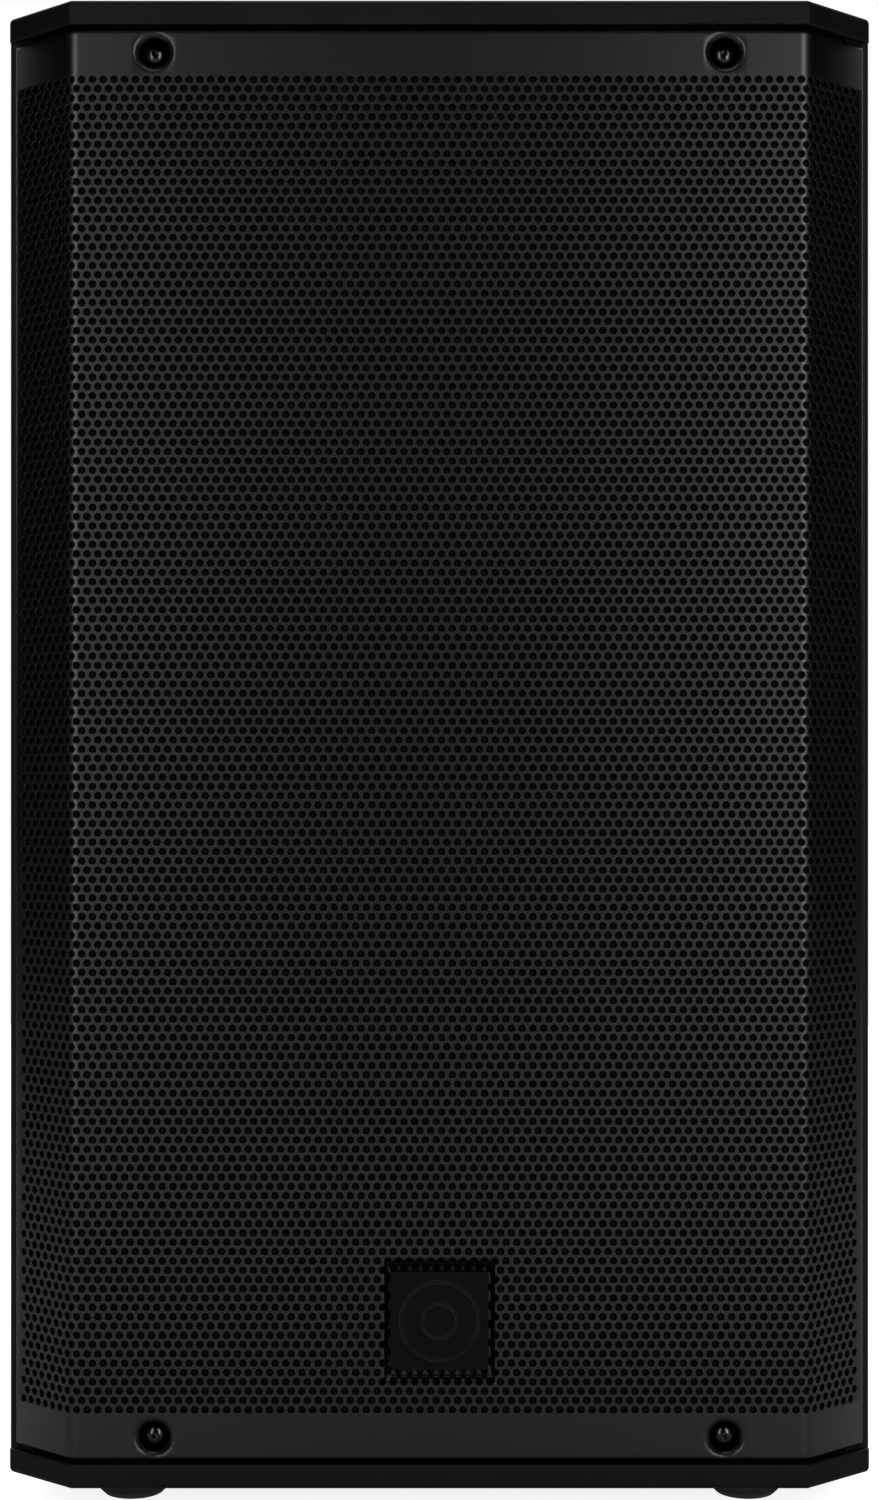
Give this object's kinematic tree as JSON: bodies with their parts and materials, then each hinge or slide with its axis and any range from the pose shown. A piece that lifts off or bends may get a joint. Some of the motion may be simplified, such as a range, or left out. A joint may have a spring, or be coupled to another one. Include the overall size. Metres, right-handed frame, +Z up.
{
  "type": "pa speaker cabinet",
  "caption": "Two-way active PA speaker cabinet with a bevelled full-face perforated steel grille, tapered wooden box, rubber feet, side handles and a rear amplifier module.",
  "frame": {"origin": "bottom centre of the bounding box, on the floor between the feet", "axes": "+Z up, front towards -Y, +X to the right seen from the front"},
  "size_m": [0.41, 0.4, 0.706],
  "materials": {
    "cabinet_paint": "textured black paint on birch plywood",
    "raw_board": "black stained plywood",
    "grille_paint": "matt black powder coat",
    "acoustic_foam": "black open-cell foam",
    "black_steel": "black zinc",
    "badge_plastic": "satin black",
    "cast_frame": "black cast",
    "gasket_foam": "closed-cell strip",
    "cone_paper": "treated pulp",
    "surround_cloth": "doped cloth",
    "spider_cloth": "resin cloth",
    "coil_wire": "enamelled copper",
    "motor_steel": "zinc plated",
    "ferrite": "ferrite",
    "black_plastic": "fine texture",
    "dome_metal": "thin formed dome",
    "amp_paint": "matt black powder coat",
    "anodised_aluminium": "black anodised",
    "housing_steel": "galvanised",
    "circuit_board": "glass epoxy with parts",
    "latch_plastic": "moulded",
    "rocker_plastic": "moulded",
    "knob_plastic": "soft black",
    "lamp_lens": "clear tinted",
    "zinc_steel": "zinc plated",
    "foot_rubber": "moulded rubber",
    "wire_sleeve": "pvc sleeve"
  },
  "bodies": {
    "cabinet": {"top_panel": "cabinet_paint", "bottom_panel": "cabinet_paint", "left_side_panel": "cabinet_paint", "right_side_panel": "cabinet_paint", "left_rear_wall": "cabinet_paint", "right_rear_wall": "cabinet_paint", "rear_panel": "cabinet_paint", "front_baffle": "raw_board", "cross_brace": "raw_board", "grille_blocks": "raw_board", "grille": "grille_paint", "grille_foam": "acoustic_foam", "grille_screws": "black_steel", "woofer_screws": "black_steel", "horn_screws": "black_steel", "amp_screws": "black_steel", "cabinet_screws": "black_steel", "pole_socket": "black_steel", "badge_plate": "badge_plastic", "woofer_frame": "cast_frame", "woofer_gasket": "gasket_foam", "amp_gasket": "gasket_foam", "woofer_surround": "surround_cloth", "woofer_spider": "spider_cloth", "woofer_top_plate": "motor_steel", "woofer_back_plate": "motor_steel", "hf_driver_body": "motor_steel", "woofer_magnet": "ferrite", "horn": "black_plastic", "port_tubes": "black_plastic", "hf_phase_plug": "black_plastic", "hf_rear_cover": "black_plastic", "handle_cups": "black_plastic", "input_jacks": "black_plastic", "link_jack": "black_plastic", "mains_inlet": "black_plastic", "mains_outlet": "black_plastic", "power_switch_frame": "black_plastic", "amp_plate": "amp_paint", "amp_heatsink": "anodised_aluminium", "amp_housing": "housing_steel", "signal_board": "circuit_board", "power_board": "circuit_board", "status_lamps": "lamp_lens", "fly_inserts": "zinc_steel", "feet": "foot_rubber", "handle_grips": "foot_rubber", "speaker_wiring": "wire_sleeve"},
    "cone_assembly": {"woofer_cone": "cone_paper", "woofer_dust_cap": "cone_paper", "woofer_voice_coil": "coil_wire"},
    "diaphragm": {"hf_diaphragm": "dome_metal"},
    "knob_a": {"level_knob_a": "knob_plastic"},
    "knob_b": {"level_knob_b": "knob_plastic"},
    "button_a": {"input_button_a": "knob_plastic"},
    "button_b": {"input_button_b": "knob_plastic"},
    "preset": {"preset_button": "knob_plastic"},
    "rocker": {"power_rocker": "rocker_plastic"},
    "latch_a": {"jack_latch_a": "latch_plastic"},
    "latch_b": {"jack_latch_b": "latch_plastic"}
  },
  "joints": [
    {"name": "woofer_cone_travel", "type": "slide", "parent": "cabinet", "child": "cone_assembly", "axis": [0, -1, 0], "range_m": [-0.008, 0.008], "stiffness_N_per_m": 3000, "deforming": ["woofer_surround", "woofer_spider"]},
    {"name": "hf_diaphragm_travel", "type": "slide", "parent": "cabinet", "child": "diaphragm", "axis": [0, -1, 0], "range_m": [-0.0004, 0.0004], "stiffness_N_per_m": 2000},
    {"name": "level_knob_a_turn", "type": "hinge", "parent": "cabinet", "child": "knob_a", "pos_m": [-0.06, 0.182, 0.288], "axis": [0, 1, 0], "range_deg": [-150, 150]},
    {"name": "level_knob_b_turn", "type": "hinge", "parent": "cabinet", "child": "knob_b", "pos_m": [0, 0.182, 0.288], "axis": [0, 1, 0], "range_deg": [-150, 150]},
    {"name": "input_button_a_press", "type": "slide", "parent": "cabinet", "child": "button_a", "axis": [0, -1, 0], "range_m": [0, 0.0015], "stiffness_N_per_m": 400},
    {"name": "input_button_b_press", "type": "slide", "parent": "cabinet", "child": "button_b", "axis": [0, -1, 0], "range_m": [0, 0.0015], "stiffness_N_per_m": 400},
    {"name": "preset_button_press", "type": "slide", "parent": "cabinet", "child": "preset", "axis": [0, -1, 0], "range_m": [0, 0.0015], "stiffness_N_per_m": 400},
    {"name": "power_rocker_tilt", "type": "hinge", "parent": "cabinet", "child": "rocker", "pos_m": [0.06, 0.1805, 0.14], "axis": [1, 0, 0], "range_deg": [0, 16]},
    {"name": "jack_latch_a_press", "type": "slide", "parent": "cabinet", "child": "latch_a", "axis": [0, -1, 0], "range_m": [0, 0.002], "stiffness_N_per_m": 600},
    {"name": "jack_latch_b_press", "type": "slide", "parent": "cabinet", "child": "latch_b", "axis": [0, -1, 0], "range_m": [0, 0.002], "stiffness_N_per_m": 600}
  ]
}
